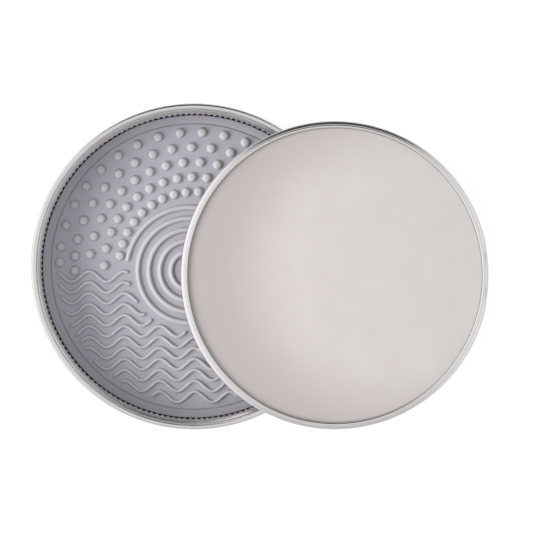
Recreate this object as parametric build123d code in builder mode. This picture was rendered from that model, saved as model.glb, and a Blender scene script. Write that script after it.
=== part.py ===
"""Wet palette in a round aluminium screw-top tin, opened out for use.

The lid lies on its top with its mouth up and holds a moulded texture mat.  The base stands on the lid's
rim, off to one side, and holds a sponge with the mixing paper on it.  Sizes are in millimetres, +Z is up,
and the origin is on the lid's axis, at the flat face that the lid lies on.
"""

import os
from math import ceil, cos, hypot, pi, radians, sin

from build123d import *

os.makedirs("parts", exist_ok=True)

# Sheet metal of both pressings
sheet = 0.6
half_sheet = sheet / 2

# Lid
lid_radius = 60.0  # outside of the rolled bead
lid_height = 14.0
lid_bead_diameter = 2.1
lid_corner_radius = 1.5
grip_step_in = 1.8  # from the mouth's wall in to the band that the fingers turn
grip_step_rise = 1.0
lid_thread_depth = 1.65
lid_thread_height = 2.6
lid_thread_below_mouth = 3.7  # mouth to the middle of the thread
wall_below_thread = 1.6

# Base
base_height = 20.0
base_corner_radius = 2.2
base_thread_depth = 1.2
base_thread_height = 2.4
neck_step_in = 0.9
neck_step_rise = 1.0
lip_diameter = 1.6
thread_overlap = 0.35  # how far the two threads reach past each other, sideways
thread_lead = 1.75  # between the threads' middles when the tin is closed
closing_gap = 0.5  # from the lid's mouth to the base's shoulder when the tin is closed
base_axis_inset = 8.2  # how far inside the lid's rim the base's axis stands
base_bearing = -3.54  # direction from the lid's axis to the base's, degrees from +X

# Gaps
seat_gap = 0.15  # between parts that lie on each other
mat_side_gap = 0.5
paper_side_gap = 0.25
sponge_side_gap = 0.6

# Texture mat
mat_thickness = 1.6
mat_border = 2.8
groove_width = 0.5
groove_depth = 0.5
dot_radius = 1.65
dot_height = 1.0
dot_taper = 12.0
dot_edge_inset = 3.25  # from the groove to the outermost row
dot_row_pitch = 5.5
dot_angle_pitch = 360 / 38
dot_start_angles = [86.4, 91.1]  # rows take these in turn
dot_regular_counts = [9, 7, 7, 8, 9]  # dots at the even pitch, left of the start, inner row first
dot_closing_angles = [[], [168.4, 179.4], [163.2, 173.2], [174.9, 182.0], [178.2]]
ring_centre_x = -1.5
ring_centre_y = -1.5
ring_radius = 6.95
ring_pitch = 4.09
ring_count = 4
ring_rib = 1.9
arc_end_angle = 7.7
rib_height = 0.8
wave_count = 12
wave_length = 13.02
wave_amplitude = 1.9
wave_pitch = 4.04
wave_first_y = -3.7
wave_crest_x = 0.44
wave_rib = 1.4
wave_edge_gap = 1.2
wave_ring_gap = 1.3
wave_samples = 16  # along one wavelength

# Sponge and paper
paper_thickness = 0.25
paper_recess = 0.9  # the paper's top below the lip's top

# Levels
mat_floor = sheet + seat_gap
mat_top = mat_floor + mat_thickness
lid_thread_level = lid_height - lid_thread_below_mouth
grip_height = lid_thread_level - lid_thread_height / 2 - wall_below_thread - grip_step_rise
base_floor = lid_height + seat_gap
base_top = base_floor + base_height
body_top = base_top - (lid_height - mat_top) - closing_gap
base_thread_level = base_top - (lid_thread_level - mat_top) + thread_lead
sponge_floor = base_floor + sheet + seat_gap
paper_top = base_top - paper_recess
sponge_top = paper_top - paper_thickness - seat_gap

# Radii of the lid and the mat, from the outside in
lid_curl_radius = lid_bead_diameter / 2 - half_sheet
lid_wall_radius = lid_radius - lid_bead_diameter + half_sheet
grip_radius = lid_wall_radius - grip_step_in
mat_radius = grip_radius - half_sheet - mat_side_gap
mat_edge_radius = min(lid_corner_radius, 0.9 * mat_thickness)
groove_radius = mat_radius - mat_border
dot_rows = len(dot_regular_counts)
ring_outermost = ring_radius + ring_pitch * (ring_count - 1)

# Radii of the base and what it holds: its thread reaches behind the lid's
lid_thread_crest = lid_wall_radius - half_sheet - lid_thread_depth
base_thread_crest = lid_thread_crest + thread_overlap
neck_radius = base_thread_crest - base_thread_depth - half_sheet
body_radius = neck_radius + neck_step_in
lip_curl_radius = lip_diameter / 2 - half_sheet
lip_inner_radius = neck_radius + half_sheet - lip_diameter
paper_radius = lip_inner_radius - paper_side_gap
sponge_radius = lip_inner_radius - sponge_side_gap
base_x = (lid_radius - base_axis_inset) * cos(radians(base_bearing))
base_y = (lid_radius - base_axis_inset) * sin(radians(base_bearing))


def thread_bump(line_radius, middle, height, depth):
    """Points of a wall's centre line where it is pressed sideways by depth, in or out."""
    slope = height / 2
    flat = height / 8
    return [
        (line_radius, middle - slope),
        (line_radius + depth, middle - flat),
        (line_radius + depth, middle + flat),
        (line_radius, middle + slope),
    ]


def bump_radii(height):
    """Bend radii for the four points of a thread bump."""
    return [height / 6] * 4


def dot_angles(row):
    """Angles of one row's dots, in degrees from +X."""
    start = dot_start_angles[row % 2]
    left = [start + dot_angle_pitch * n for n in range(dot_regular_counts[row] + 1)]
    left += dot_closing_angles[row]
    right_end = 180 - left[-1]
    right = []
    while start - dot_angle_pitch * (len(right) + 1) > right_end + 0.6 * dot_angle_pitch:
        right.append(start - dot_angle_pitch * (len(right) + 1))
    return left + right + [right_end]


def wave_y(line, x):
    """Height of one wave line's centre at x."""
    middle = wave_first_y - wave_pitch * line
    return middle + wave_amplitude * cos(2 * pi * (x - wave_crest_x) / wave_length)


def wave_runs(line):
    """Stretches of one wave line that stay inside the groove and clear of the rings."""
    limit = groove_radius - wave_edge_gap - wave_rib / 2
    clear = ring_outermost + ring_rib / 2 + wave_ring_gap + wave_rib / 2
    step = wave_length / wave_samples
    runs = [[]]
    for n in range(-ceil(limit / step), ceil(limit / step) + 1):
        x = n * step
        y = wave_y(line, x)
        inside = hypot(x, y) <= limit
        if inside and hypot(x - ring_centre_x, y - ring_centre_y) >= clear:
            runs[-1].append((x, y))
        elif runs[-1]:
            runs.append([])
    return [run for run in runs if len(run) > 3]


# Lid: one pressing, drawn as the centre line of its sheet from the axis to the end of the rolled bead
with BuildPart() as lid_shell:
    curl_centre = (lid_wall_radius + lid_curl_radius, lid_height - lid_bead_diameter / 2)
    bump = thread_bump(lid_wall_radius, lid_thread_level, lid_thread_height, -lid_thread_depth)
    with BuildSketch(Plane.XZ) as lid_profile:
        with BuildLine() as lid_line:
            FilletPolyline(
                (0, half_sheet),
                (grip_radius, half_sheet),
                (grip_radius, grip_height),
                (lid_wall_radius, grip_height + grip_step_rise),
                *bump,
                (lid_wall_radius, curl_centre[1]),
                radius=[lid_corner_radius, sheet, half_sheet] + bump_radii(lid_thread_height),
            )
            CenterArc(curl_centre, lid_curl_radius, 180, -260)
        trace(lines=lid_line.edges(), line_width=sheet)
    revolve(axis=Axis.Z)

# Texture mat: a disc with a flat border, a groove, dots above and waves below a set of rings
with BuildPart() as texture_mat:
    with BuildSketch(Plane.XY.offset(mat_floor)):
        Circle(mat_radius)
    extrude(amount=mat_thickness)
    fillet(texture_mat.edges().filter_by(GeomType.CIRCLE).group_by(Axis.Z)[0], mat_edge_radius)
    with BuildSketch(Plane.XY.offset(mat_top)):
        Circle(groove_radius + groove_width / 2)
        Circle(groove_radius - groove_width / 2, mode=Mode.SUBTRACT)
    extrude(amount=-groove_depth, mode=Mode.SUBTRACT)
    with BuildSketch(Plane.XY.offset(mat_top)):
        for row in range(dot_rows):
            row_radius = groove_radius - dot_edge_inset - dot_row_pitch * (dot_rows - 1 - row)
            for angle in dot_angles(row):
                with Locations((row_radius * cos(radians(angle)), row_radius * sin(radians(angle)))):
                    Circle(dot_radius)
    extrude(amount=dot_height, taper=dot_taper)
    with BuildSketch(Plane.XY.offset(mat_top)):
        with Locations((ring_centre_x, ring_centre_y)):
            for number in reversed(range(ring_count)):
                Circle(ring_radius + ring_pitch * number + ring_rib / 2)
                Circle(ring_radius + ring_pitch * number - ring_rib / 2, mode=Mode.SUBTRACT)
        with BuildLine() as open_arc:
            CenterArc(
                (ring_centre_x, ring_centre_y),
                ring_outermost + ring_pitch,
                arc_end_angle,
                180 - 2 * arc_end_angle,
            )
        trace(lines=open_arc.edges(), line_width=ring_rib)
    extrude(amount=rib_height)
    with BuildSketch(Plane.XY.offset(mat_top)):
        for line in range(wave_count):
            for run in wave_runs(line):
                with BuildLine() as wave_line:
                    Spline(run)
                trace(lines=wave_line.edges(), line_width=wave_rib)
    extrude(amount=rib_height)

# Base: one pressing with a neck, an outward thread and a lip rolled inwards
with BuildPart() as base_pan:
    curl_centre = (neck_radius - lip_curl_radius, base_top - lip_diameter / 2)
    bump = thread_bump(neck_radius, base_thread_level, base_thread_height, base_thread_depth)
    with BuildSketch(Plane((base_x, base_y, 0), x_dir=(1, 0, 0), z_dir=(0, -1, 0))) as base_profile:
        with BuildLine() as base_line:
            FilletPolyline(
                (0, base_floor + half_sheet),
                (body_radius, base_floor + half_sheet),
                (body_radius, body_top),
                (neck_radius, body_top + neck_step_rise),
                *bump,
                (neck_radius, curl_centre[1]),
                radius=[base_corner_radius, sheet, half_sheet] + bump_radii(base_thread_height),
            )
            CenterArc(curl_centre, lip_curl_radius, 0, 260)
        trace(lines=base_line.edges(), line_width=sheet)
    revolve(axis=Axis((base_x, base_y, 0), (0, 0, 1)))

# Sponge, with its lower edge rounded to lie in the base's corner
with BuildPart() as sponge:
    with BuildSketch(Plane((base_x, base_y, sponge_floor))):
        Circle(sponge_radius)
    extrude(amount=sponge_top - sponge_floor)
    fillet(sponge.edges().filter_by(GeomType.CIRCLE).group_by(Axis.Z)[0], base_corner_radius)

# Paper that the paint is mixed on
with BuildPart() as hydration_paper:
    with BuildSketch(Plane((base_x, base_y, paper_top - paper_thickness))):
        Circle(paper_radius)
    extrude(amount=paper_thickness)

pieces = {
    "lid_shell": lid_shell,
    "texture_mat": texture_mat,
    "base_pan": base_pan,
    "sponge": sponge,
    "hydration_paper": hydration_paper,
}
for name, piece in pieces.items():
    piece.part.label = name
    export_step(piece.part, f"parts/{name}.step")
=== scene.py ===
"""Looks of a wet palette in a round aluminium screw-top tin, opened out for use.

The lid lies on its top and holds a moulded silicone mat. The base stands on the lid's rim and holds a sponge
with the mixing paper on it. Lengths are in metres, in the frame of the CAD model.
"""

import logging
import math
from collections.abc import Callable
from dataclasses import dataclass, field
from enum import Enum

import bmesh
import bpy
import numpy as np
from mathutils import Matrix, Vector, kdtree, noise


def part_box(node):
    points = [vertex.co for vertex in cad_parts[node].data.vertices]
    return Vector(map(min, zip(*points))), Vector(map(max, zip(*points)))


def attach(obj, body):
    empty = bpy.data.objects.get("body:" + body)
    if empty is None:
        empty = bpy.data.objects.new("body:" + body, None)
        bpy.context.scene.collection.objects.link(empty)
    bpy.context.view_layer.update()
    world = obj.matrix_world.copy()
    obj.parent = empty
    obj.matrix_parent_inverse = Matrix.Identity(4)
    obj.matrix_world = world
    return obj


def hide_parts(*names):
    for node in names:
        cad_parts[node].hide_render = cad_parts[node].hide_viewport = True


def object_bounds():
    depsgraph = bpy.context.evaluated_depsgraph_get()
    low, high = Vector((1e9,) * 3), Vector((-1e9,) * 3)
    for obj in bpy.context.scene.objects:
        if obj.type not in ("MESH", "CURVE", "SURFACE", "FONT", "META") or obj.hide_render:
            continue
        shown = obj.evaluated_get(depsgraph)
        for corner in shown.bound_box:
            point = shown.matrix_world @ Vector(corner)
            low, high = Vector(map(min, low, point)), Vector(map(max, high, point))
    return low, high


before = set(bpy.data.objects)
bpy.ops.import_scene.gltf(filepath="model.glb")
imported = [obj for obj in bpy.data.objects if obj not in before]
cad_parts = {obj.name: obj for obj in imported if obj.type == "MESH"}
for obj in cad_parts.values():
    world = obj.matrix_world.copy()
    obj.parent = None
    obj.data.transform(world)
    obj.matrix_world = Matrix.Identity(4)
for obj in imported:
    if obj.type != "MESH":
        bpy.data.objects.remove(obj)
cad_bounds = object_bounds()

logging.basicConfig(level=logging.INFO, format="%(name)s: %(message)s")
log = logging.getLogger("wet_palette")

MM = 0.001

Socket = bpy.types.NodeSocket
Value = Socket | float
Colour = tuple[float, float, float]
Outline = list[tuple[float, float]]


class Body(Enum):
    """Bodies of the CAD model that the pieces ride on."""

    LID = "lid"
    MAT = "mat"
    BASE = "base"
    SPONGE = "sponge"
    PAPER = "paper"


class Slot(Enum):
    """Material slots of the record."""

    TIN = "tin"
    SILICONE = "silicone"
    SPONGE = "sponge"
    PAPER = "paper"


class Turn(Enum):
    """Which way a pressed thread bulges from its wall."""

    INWARD = -1
    OUTWARD = 1


# ------------------------------------------------------------------------------
# Node trees
# ------------------------------------------------------------------------------


class NodeTree:
    """A node tree with short calls to add nodes and join their sockets."""

    def __init__(self, tree: bpy.types.NodeTree) -> None:
        """Wraps a tree.

        Args:
            tree: The tree that the nodes go into.
        """
        self.tree = tree

    def add(self, kind: str, **settings: object) -> bpy.types.Node:
        """Adds a node.

        Args:
            kind: The node's Blender type name.
            settings: Properties of the node, by name.

        Returns:
            The new node.
        """
        node = self.tree.nodes.new(kind)
        for name, value in settings.items():
            setattr(node, name, value)
        return node

    def feed(self, node: bpy.types.Node, **values: object) -> bpy.types.Node:
        """Joins outputs to a node's inputs, or sets them.

        Args:
            node: The node to feed.
            values: An output socket or a plain value for each input, with underscores for spaces in its name.

        Returns:
            The same node.
        """
        for name, value in values.items():
            self.put(node.inputs[name.replace("_", " ")], value)
        return node

    def put(self, socket: Socket, value: object) -> None:
        """Joins an output socket to an input, or sets the input to a plain value.

        Args:
            socket: The input.
            value: The output socket or the plain value.
        """
        if isinstance(value, Socket):
            self.tree.links.new(value, socket)
        else:
            socket.default_value = value

    def math(self, operation: str, *values: Value) -> Socket:
        """A Math node.

        Args:
            operation: Blender's name of the operation.
            values: One to three sockets or numbers.

        Returns:
            Its result.
        """
        node = self.add("ShaderNodeMath", operation=operation)
        for socket, value in zip(node.inputs, values):
            self.put(socket, value)
        return node.outputs[0]

    def steps(self, value: Socket, low: Value, high: Value, start: float = 0.0, end: float = 1.0) -> Socket:
        """A smooth Map Range node.

        Args:
            value: The input, which runs from low to high.
            low: Where the output starts to change.
            high: Where the output stops changing.
            start: The output below low.
            end: The output above high.

        Returns:
            Its result.
        """
        node = self.add("ShaderNodeMapRange", interpolation_type="SMOOTHSTEP")
        self.feed(node, Value=value, From_Min=low, From_Max=high, To_Min=start, To_Max=end)
        return node.outputs["Result"]

    def apart(self, vector: Socket) -> list[Socket]:
        """The X, Y and Z of a vector."""
        return list(self.feed(self.add("ShaderNodeSeparateXYZ"), Vector=vector).outputs)

    def together(self, x: Value = 0.0, y: Value = 0.0, z: Value = 0.0) -> Socket:
        """A vector from its X, Y and Z."""
        return self.feed(self.add("ShaderNodeCombineXYZ"), X=x, Y=y, Z=z).outputs[0]

    def length(self, x: Socket, y: Socket) -> Socket:
        """Length of the flat vector that has this X and Y."""
        squares = [self.math("MULTIPLY", part, part) for part in (x, y)]
        return self.math("SQRT", self.math("ADD", *squares))


class Group(NodeTree):
    """A node group with named inputs and outputs."""

    def __init__(self, name: str, kind: str, inputs: dict[str, tuple], outputs: dict[str, str]) -> None:
        """Makes an empty group.

        Args:
            name: The group's name.
            kind: The type of tree, GeometryNodeTree or ShaderNodeTree.
            inputs: Socket type and default value of each input, by name.
            outputs: Socket type of each output, by name.
        """
        super().__init__(bpy.data.node_groups.new(name, kind))
        for label, (socket_type, default) in inputs.items():
            socket = self.tree.interface.new_socket(name=label, in_out="INPUT", socket_type=socket_type)
            if default is not None:
                socket.default_value = default
        for label, socket_type in outputs.items():
            self.tree.interface.new_socket(name=label, in_out="OUTPUT", socket_type=socket_type)
        self.given = self.add("NodeGroupInput").outputs
        self.result = self.add("NodeGroupOutput").inputs


FLOAT = "NodeSocketFloat"
INTEGER = "NodeSocketInt"
GEOMETRY = "NodeSocketGeometry"
VECTOR = "NodeSocketVector"


def modified_mesh(
    name: str, source: bpy.types.Mesh, group: Group, values: dict[str, object]
) -> bpy.types.Mesh:
    """Runs a Geometry Nodes tree once and keeps its result as a plain mesh.

    Args:
        name: The name of the result.
        source: The mesh that the tree starts from.
        group: The tree.
        values: The tree's inputs, by name.

    Returns:
        The plain mesh.
    """
    holder = bpy.data.objects.new(name, source)
    bpy.context.scene.collection.objects.link(holder)
    modifier = holder.modifiers.new("shape", "NODES")
    modifier.node_group = group.tree
    for socket in group.tree.interface.items_tree:
        if socket.in_out == "INPUT" and socket.name in values:
            modifier[socket.identifier] = values[socket.name]
    evaluated = holder.evaluated_get(bpy.context.evaluated_depsgraph_get())
    mesh = bpy.data.meshes.new_from_object(evaluated)
    bpy.data.objects.remove(holder)
    return mesh


# ------------------------------------------------------------------------------
# Effects that several finishes share
# ------------------------------------------------------------------------------


def spun_marks_group() -> Group:
    """Fine rings round a turned part's axis, on its floor and up its walls.

    Returns:
        A group that takes a vector centred on the axis and gives the marks from 0 to 1.
    """
    inputs = {"Vector": (VECTOR, None), "Rings": (FLOAT, 900.0)}
    group = Group("spun_marks", "ShaderNodeTree", inputs, {"Marks": FLOAT})
    x, y, z = group.apart(group.given["Vector"])
    place = group.together(group.length(x, y), 0.0, z)
    texture = group.add("ShaderNodeTexNoise")
    group.feed(texture, Vector=place, Scale=group.given["Rings"], Detail=3.0, Roughness=0.6)
    group.put(group.result["Marks"], texture.outputs["Fac"])
    return group


def fine_grain_group() -> Group:
    """Small-scale grain of a moulded or fibrous surface.

    Returns:
        A group that gives the grain from 0 to 1, soft and sharp.
    """
    inputs = {"Vector": (VECTOR, None), "Scale": (FLOAT, 2500.0)}
    group = Group("fine_grain", "ShaderNodeTree", inputs, {"Grain": FLOAT, "Specks": FLOAT})
    soft = group.add("ShaderNodeTexNoise")
    group.feed(soft, Vector=group.given["Vector"], Scale=group.given["Scale"], Detail=4.0, Roughness=0.65)
    cells = group.add("ShaderNodeTexVoronoi")
    group.feed(cells, Vector=group.given["Vector"], Scale=group.math("MULTIPLY", group.given["Scale"], 0.5))
    group.put(group.result["Grain"], soft.outputs["Fac"])
    group.put(group.result["Specks"], group.steps(cells.outputs["Distance"], 0.08, 0.2, 1.0, 0.0))
    return group


def soft_patches_group() -> Group:
    """Large soft patches, such as a smear, a wet place or uneven colour.

    Returns:
        A group that gives the patches from 0 to 1.
    """
    inputs = {"Vector": (VECTOR, None), "Scale": (FLOAT, 40.0), "Spread": (FLOAT, 0.2)}
    group = Group("soft_patches", "ShaderNodeTree", inputs, {"Patches": FLOAT})
    texture = group.add("ShaderNodeTexNoise")
    group.feed(texture, Vector=group.given["Vector"], Scale=group.given["Scale"])
    group.feed(texture, Detail=5.0, Roughness=0.55, Distortion=0.4)
    low = group.math("SUBTRACT", 0.5, group.given["Spread"])
    high = group.math("ADD", 0.5, group.given["Spread"])
    group.put(group.result["Patches"], group.steps(texture.outputs["Fac"], low, high))
    return group


def inner_wall_group() -> Group:
    """The walls of a round pan that face its axis, between two levels.

    Returns:
        A group that takes a vector centred on the axis and gives 1 on those walls.
    """
    inputs = {"Vector": (VECTOR, None), "Low": (FLOAT, 0.0), "High": (FLOAT, 0.01)}
    group = Group("inner_wall", "ShaderNodeTree", inputs, {"Inside": FLOAT})
    x, y, z = group.apart(group.given["Vector"])
    out = group.add("ShaderNodeVectorMath", operation="NORMALIZE")
    group.put(out.inputs[0], group.together(x, y, 0.0))
    facing = group.add("ShaderNodeVectorMath", operation="DOT_PRODUCT")
    group.put(facing.inputs[0], out.outputs[0])
    group.put(facing.inputs[1], group.add("ShaderNodeTexCoord").outputs["Normal"])
    wall = group.steps(facing.outputs["Value"], -0.35, -0.1, 1.0, 0.0)
    fade = 0.8 * MM
    below = group.steps(group.math("SUBTRACT", group.given["High"], z), 0.0, fade)
    above = group.steps(group.math("SUBTRACT", z, group.given["Low"]), 0.0, fade)
    group.put(group.result["Inside"], group.math("MULTIPLY", wall, group.math("MULTIPLY", below, above)))
    return group


@dataclass(frozen=True)
class Effects:
    """The shared effect groups."""

    spun_marks: Group = field(default_factory=spun_marks_group)
    fine_grain: Group = field(default_factory=fine_grain_group)
    soft_patches: Group = field(default_factory=soft_patches_group)
    inner_wall: Group = field(default_factory=inner_wall_group)


# ------------------------------------------------------------------------------
# Finishes
# ------------------------------------------------------------------------------


class MaterialTree(NodeTree):
    """A material with one Principled BSDF, on Object coordinates."""

    def __init__(self, name: str) -> None:
        """Makes the material.

        Args:
            name: The material's name.
        """
        self.material = bpy.data.materials.new(name)
        self.material.use_nodes = True
        super().__init__(self.material.node_tree)
        self.shader = self.tree.nodes["Principled BSDF"]
        self.place = self.add("ShaderNodeTexCoord").outputs["Object"]

    def effect(self, group: Group, **values: object) -> bpy.types.Node:
        """Places a shared effect with this material's own values.

        Args:
            group: The effect.
            values: Its inputs, by name. Its Vector is the object's own place unless it is given.

        Returns:
            The effect's node.
        """
        node = self.add("ShaderNodeGroup", node_tree=group.tree)
        values.setdefault("Vector", self.place)
        return self.feed(node, **values)

    def centred(self, centre: Vector) -> Socket:
        """Object coordinates measured from a point."""
        node = self.add("ShaderNodeMapping")
        return self.feed(node, Vector=self.place, Location=(-centre.x, -centre.y, 0.0)).outputs[0]

    def mix(self, share: Socket, first: Socket | Colour, second: Socket | Colour) -> Socket:
        """A colour between two others.

        Args:
            share: How much of the second colour, from 0 to 1.
            first: The colour at 0.
            second: The colour at 1.

        Returns:
            The mixed colour.
        """
        node = self.add("ShaderNodeMix", data_type="RGBA")
        inputs = {socket.identifier: socket for socket in node.inputs}
        self.put(inputs["Factor_Float"], share)
        for name, colour in (("A_Color", first), ("B_Color", second)):
            self.put(inputs[name], colour if isinstance(colour, Socket) else (*colour, 1.0))
        return next(output for output in node.outputs if output.identifier == "Result_Color")

    def bump(self, height: Socket, strength: float, distance: float) -> Socket:
        """The normal of a height that varies over the surface."""
        node = self.add("ShaderNodeBump")
        return self.feed(node, Height=height, Strength=strength, Distance=distance).outputs["Normal"]

    def finish(self, **values: object) -> bpy.types.Material:
        """Feeds the shader and gives the finished material."""
        self.feed(self.shader, **values)
        return self.material


@dataclass(frozen=True)
class SpunAluminium:
    """Bright satin aluminium with fine spun rings and faint handling marks, with painted shade on the inner
    wall and a painted dark shade line round it.

    Attributes:
        name: The finish's name.
        centre: The axis of the piece.
        inside: Lowest and highest level of the inner wall, which gets painted shade and more roughness.
        crease: Radius of the painted dark shade line round the inner wall.
        shade_line_fade: How far from that line its painted shade starts and stops fading.
        roughness: Roughness of the spun rings, from their smoothest to their roughest.
        inside_roughness: How much rougher the inner wall is.
        rings: How fine the spun rings are.
        dull_share: How much of the dull colour the handling marks show.
        wear: How much rougher the handling marks are.
    """

    name: str
    centre: Vector
    inside: tuple[float, float]
    crease: float = 0.0
    shade_line_fade: tuple[float, float] = (0.1 * MM, 0.45 * MM)
    colour: Colour = (0.9, 0.875, 0.855)
    dull_colour: Colour = (0.775, 0.755, 0.74)
    # Painted shade: the inner wall's colour and the darker line's colour stand in for the shade inside the
    # thread.
    inner_shade_colour: Colour = (0.69, 0.665, 0.655)
    shade_line_colour: Colour = (0.52, 0.5, 0.49)
    roughness: tuple[float, float] = (0.13, 0.24)
    inside_roughness: float = 0.2
    rings: float = 1400.0
    dull_share: float = 0.35
    wear: float = 0.05

    def material(self, effects: Effects) -> bpy.types.Material:
        """Builds the material.

        Args:
            effects: The shared effects.

        Returns:
            The material.
        """
        tree = MaterialTree(self.name)
        centred = tree.centred(self.centre)
        marks = tree.effect(effects.spun_marks, Vector=centred, Rings=self.rings).outputs["Marks"]
        patches = tree.effect(effects.soft_patches, Scale=55.0, Spread=0.3).outputs["Patches"]
        low, high = self.inside
        # Painted shade: the inner wall and a line round it are darkened to stand in for shade inside the
        # thread.
        inside = tree.effect(effects.inner_wall, Vector=centred, Low=low, High=high).outputs["Inside"]
        radius = tree.length(*tree.apart(centred)[:2])
        off = tree.math("ABSOLUTE", tree.math("SUBTRACT", radius, self.crease))
        shade_line = tree.steps(off, *self.shade_line_fade, 1.0, 0.0)
        shaded_inner_wall = tree.mix(shade_line, self.inner_shade_colour, self.shade_line_colour)
        bright = tree.mix(tree.math("MULTIPLY", patches, self.dull_share), self.colour, self.dull_colour)
        worn = tree.math("MULTIPLY_ADD", patches, self.wear, tree.steps(marks, 0.3, 0.7, *self.roughness))
        return tree.finish(
            Base_Color=tree.mix(inside, bright, shaded_inner_wall),
            Metallic=1.0,
            Roughness=tree.math("MULTIPLY_ADD", inside, self.inside_roughness, worn),
            Normal=tree.bump(marks, 0.12, 0.02 * MM),
        )


@dataclass(frozen=True)
class MouldedSilicone:
    """Matt grey silicone with painted light on its raised parts and painted shade round their feet, with the
    fine texture of its mould and a little dust.

    Attributes:
        plain_level: Level of the plain upper face.
        raised: Heights above it where the painted light on the raised parts starts and is full.
        foot: Heights above it where the painted shade round the foot of a raised part starts, is full, starts
            to end and ends.
        foot_shade_share: How much of the painted foot shade shows.
        dust_share: How much of the dust's colour shows.
        roughness: Roughness of the mould's texture, from its smoothest to its roughest.
    """

    plain_level: float
    raised: tuple[float, float] = (0.15 * MM, 0.75 * MM)
    foot: tuple[float, float, float, float] = (0.0, 0.1 * MM, 0.2 * MM, 0.55 * MM)
    foot_shade_share: float = 0.5
    dust_share: float = 0.15
    roughness: tuple[float, float] = (0.46, 0.6)
    name: str = "moulded_silicone"
    colour: Colour = (0.456, 0.445, 0.494)
    pale_colour: Colour = (0.502, 0.49, 0.535)
    # Painted light on the raised parts and painted shade round their feet.
    painted_light_colour: Colour = (0.59, 0.578, 0.6)
    foot_shade_colour: Colour = (0.27, 0.26, 0.29)
    dust_colour: Colour = (0.62, 0.62, 0.63)

    def material(self, effects: Effects) -> bpy.types.Material:
        """Builds the material.

        Args:
            effects: The shared effects.

        Returns:
            The material.
        """
        tree = MaterialTree(self.name)
        grain = tree.effect(effects.fine_grain, Scale=2600.0).outputs
        patches = tree.effect(effects.soft_patches, Scale=45.0, Spread=0.25).outputs["Patches"]
        flat = tree.mix(patches, self.colour, self.pale_colour)
        level = tree.apart(tree.place)[2]
        # Painted light and shade by height above the plain face: paler tops, darker feet.
        raised = tree.steps(level, *(self.plain_level + height for height in self.raised))
        starts, full, ends, gone = (self.plain_level + height for height in self.foot)
        foot = tree.math(
            "MULTIPLY",
            tree.steps(level, starts, full, 0.0, self.foot_shade_share),
            tree.steps(level, ends, gone, 1.0, 0.0),
        )
        base = tree.mix(foot, tree.mix(raised, flat, self.painted_light_colour), self.foot_shade_colour)
        dusty = tree.mix(tree.math("MULTIPLY", grain["Specks"], self.dust_share), base, self.dust_colour)
        return tree.finish(
            Base_Color=dusty,
            Roughness=tree.steps(grain["Grain"], 0.3, 0.7, *self.roughness),
            Normal=tree.bump(grain["Grain"], 0.25, 0.03 * MM),
            Specular_IOR_Level=0.45,
            Sheen_Weight=0.08,
            Sheen_Roughness=0.5,
        )


@dataclass(frozen=True)
class DampPaper:
    """Warm pale mixing paper with faint mottling and fibres, and painted shade that darkens it away from a
    point right of its middle, most towards its left edge.

    Attributes:
        unshaded_centre: Middle of the part without painted shade.
        edge_shade_from: Distances from that middle where the painted shade starts and is full.
        fibre_share: How much of the fibres' colour shows.
        roughness: Roughness of the mottling, from its roughest to its smoothest.
    """

    unshaded_centre: Vector
    edge_shade_from: tuple[float, float] = (34 * MM, 66 * MM)
    fibre_share: float = 0.4
    roughness: tuple[float, float] = (0.72, 0.6)
    name: str = "damp_paper"
    colour: Colour = (0.708, 0.66, 0.634)
    pale_colour: Colour = (0.734, 0.686, 0.66)
    fibre_colour: Colour = (0.655, 0.605, 0.58)
    # Painted shade towards the paper's rim.
    edge_shade_colour: Colour = (0.54, 0.495, 0.478)

    def material(self, effects: Effects) -> bpy.types.Material:
        """Builds the material.

        Args:
            effects: The shared effects.

        Returns:
            The material.
        """
        tree = MaterialTree(self.name)
        grain = tree.effect(effects.fine_grain, Scale=1500.0).outputs
        patches = tree.effect(effects.soft_patches, Scale=90.0, Spread=0.22).outputs["Patches"]
        base = tree.mix(patches, self.colour, self.pale_colour)
        stretched = tree.add("ShaderNodeMapping")
        tree.feed(stretched, Vector=tree.place, Scale=(1.0, 5.0, 1.0), Rotation=(0.0, 0.0, 0.4))
        fibres = tree.effect(effects.fine_grain, Vector=stretched.outputs[0], Scale=420.0).outputs["Grain"]
        thread = tree.steps(fibres, 0.62, 0.72, 0.0, self.fibre_share)
        # Painted shade: darker away from a middle set to the right of the sheet's own.
        from_unshaded = tree.length(*tree.apart(tree.centred(self.unshaded_centre))[:2])
        edge_shade = tree.steps(from_unshaded, *self.edge_shade_from)
        return tree.finish(
            Base_Color=tree.mix(edge_shade, tree.mix(thread, base, self.fibre_colour), self.edge_shade_colour),
            Roughness=tree.steps(patches, 0.0, 1.0, *self.roughness),
            Normal=tree.bump(tree.math("ADD", grain["Grain"], fibres), 0.25, 0.03 * MM),
            Specular_IOR_Level=0.3,
        )


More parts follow.
